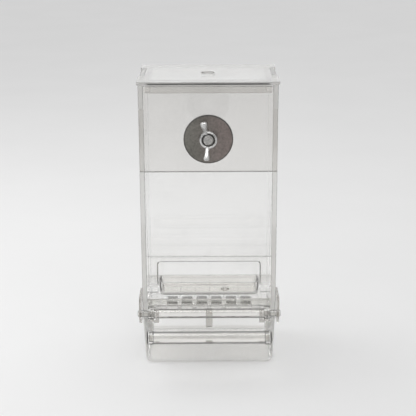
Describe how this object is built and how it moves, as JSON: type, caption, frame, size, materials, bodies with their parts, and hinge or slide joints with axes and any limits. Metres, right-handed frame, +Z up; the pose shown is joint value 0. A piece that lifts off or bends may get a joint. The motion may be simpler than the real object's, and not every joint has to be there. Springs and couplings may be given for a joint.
{
  "type": "cage bird feeder",
  "caption": "Clear plastic cage bird feeder: tall seed hopper with lift-off lid, wing-nut bar clamp, baffle, sliding seed dish, slotted deck, swinging perch and slide-out hull tray.",
  "frame": {"origin": "on the surface the feeder stands on, under the middle of the whole feeder, perch and lid included", "axes": "+Z up, front with the perch and wing nut toward -Y, +X to the right as seen from the front"},
  "size_m": [0.0896, 0.0884, 0.1835],
  "materials": {
    "clear_sheet": "clear polished sheet",
    "clear_lid": "clear sheet, faintly scuffed on top",
    "clear_dish": "clear moulding, handled",
    "clear_perch": "clear drawn rod",
    "clear_tray": "clear moulding",
    "steel": "dull plated steel",
    "zinc": "cast and zinc plated"
  },
  "bodies": {
    "housing": {"left_side_panel": "clear_sheet", "right_side_panel": "clear_sheet", "front_panel": "clear_sheet", "back_panel": "clear_sheet", "sloping_baffle": "clear_sheet", "outlet_plate": "clear_sheet", "seed_ramp": "clear_sheet", "sieve_deck": "clear_sheet", "trough_lip": "clear_sheet", "left_ear": "clear_sheet", "right_ear": "clear_sheet", "pivot_rod": "clear_perch", "left_tray_rail": "clear_sheet", "right_tray_rail": "clear_sheet", "tray_stop": "clear_sheet", "mounting_bolt": "steel", "inner_washer": "steel"},
    "lid": {"lid_plate": "clear_lid", "lid_rim": "clear_lid"},
    "dish": {"seed_dish": "clear_dish"},
    "perch": {"left_perch_arm": "clear_perch", "right_perch_arm": "clear_perch", "perch_bar": "clear_perch"},
    "tray": {"hull_tray": "clear_tray"},
    "washer": {"outer_washer": "steel"},
    "nut": {"wing_nut": "zinc"}
  },
  "joints": [
    {"name": "lid_lift", "type": "slide", "parent": "housing", "child": "lid", "axis": [0, 0, 1], "range_m": [0, 0.03]},
    {"name": "dish_slide", "type": "slide", "parent": "housing", "child": "dish", "axis": [0, -1, 0], "range_m": [0, 0.013]},
    {"name": "perch_swing", "type": "hinge", "parent": "housing", "child": "perch", "pos_m": [0, -0.0203, 0.0369], "axis": [-1, 0, 0], "range_deg": [0, 110]},
    {"name": "tray_slide", "type": "slide", "parent": "housing", "child": "tray", "axis": [0, -1, 0], "range_m": [0, 0.048]},
    {"name": "washer_slide", "type": "slide", "parent": "housing", "child": "washer", "axis": [0, -1, 0], "range_m": [0, 0.002]},
    {"name": "nut_turn", "type": "hinge", "parent": "washer", "child": "nut", "pos_m": [0, -0.0164, 0.14829], "axis": [0, -1, 0], "range_deg": [0, 720]}
  ],
  "couplings": [
    {"joint": "washer_slide", "follows": "nut_turn", "m_per_rad": 0.00015915}
  ]
}
